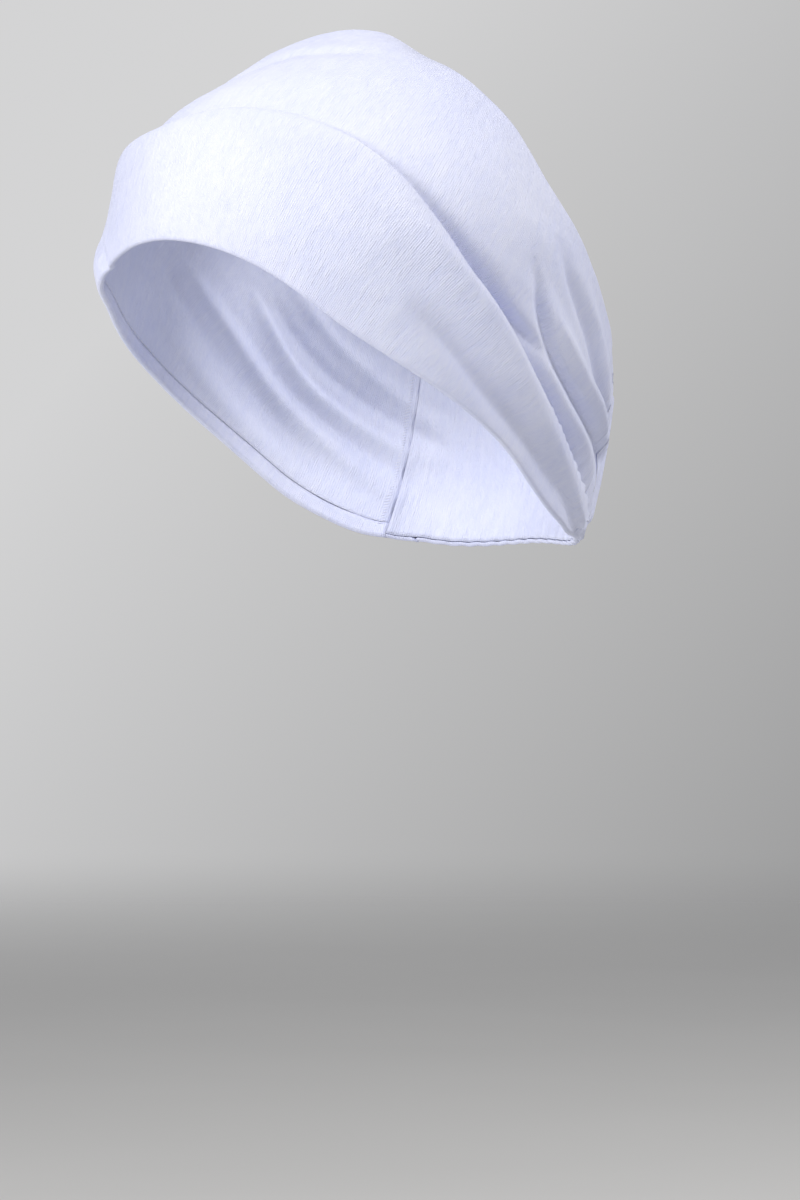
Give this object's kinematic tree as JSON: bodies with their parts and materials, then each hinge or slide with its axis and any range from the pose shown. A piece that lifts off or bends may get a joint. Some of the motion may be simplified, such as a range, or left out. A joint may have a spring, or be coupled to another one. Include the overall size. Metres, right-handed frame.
{
  "type": "sports headband",
  "caption": "Wide two-layer stretch jersey headband with a lapped brow panel, a lining and an elasticated nape casing, in the shape it takes on a head.",
  "frame": {"origin": "middle of the head that fills the band: where the wearer's head sits", "axes": "+Z towards the crown, -Y the way the face looks, +X the wearer's left"},
  "size_m": [0.1586, 0.1902, 0.178],
  "materials": {
    "outer_jersey": "matte knitted jersey",
    "lining_jersey": "matte knitted jersey, inner face",
    "woven_elastic": "ribbed woven elastic",
    "sewing_thread": "polyester thread"
  },
  "bodies": {
    "front": {"brow_panel": "outer_jersey", "crown_panel": "outer_jersey", "lining_panel": "lining_jersey", "ridge_seam_thread": "sewing_thread", "lower_hem_thread": "sewing_thread", "upper_hem_thread": "sewing_thread", "left_join_thread": "sewing_thread", "right_join_thread": "sewing_thread"},
    "rear": {"rear_casing_outer": "outer_jersey", "rear_casing_inner": "lining_jersey", "elastic_strip": "woven_elastic", "casing_bottom_thread": "sewing_thread", "casing_top_thread": "sewing_thread", "left_elastic_tack": "sewing_thread", "right_elastic_tack": "sewing_thread"}
  },
  "joints": [
    {"name": "rear_stretch", "type": "slide", "parent": "front", "child": "rear", "axis": [0, 1, 0], "range_m": [-0.008, 0.02], "stiffness_N_per_m": 150}
  ]
}
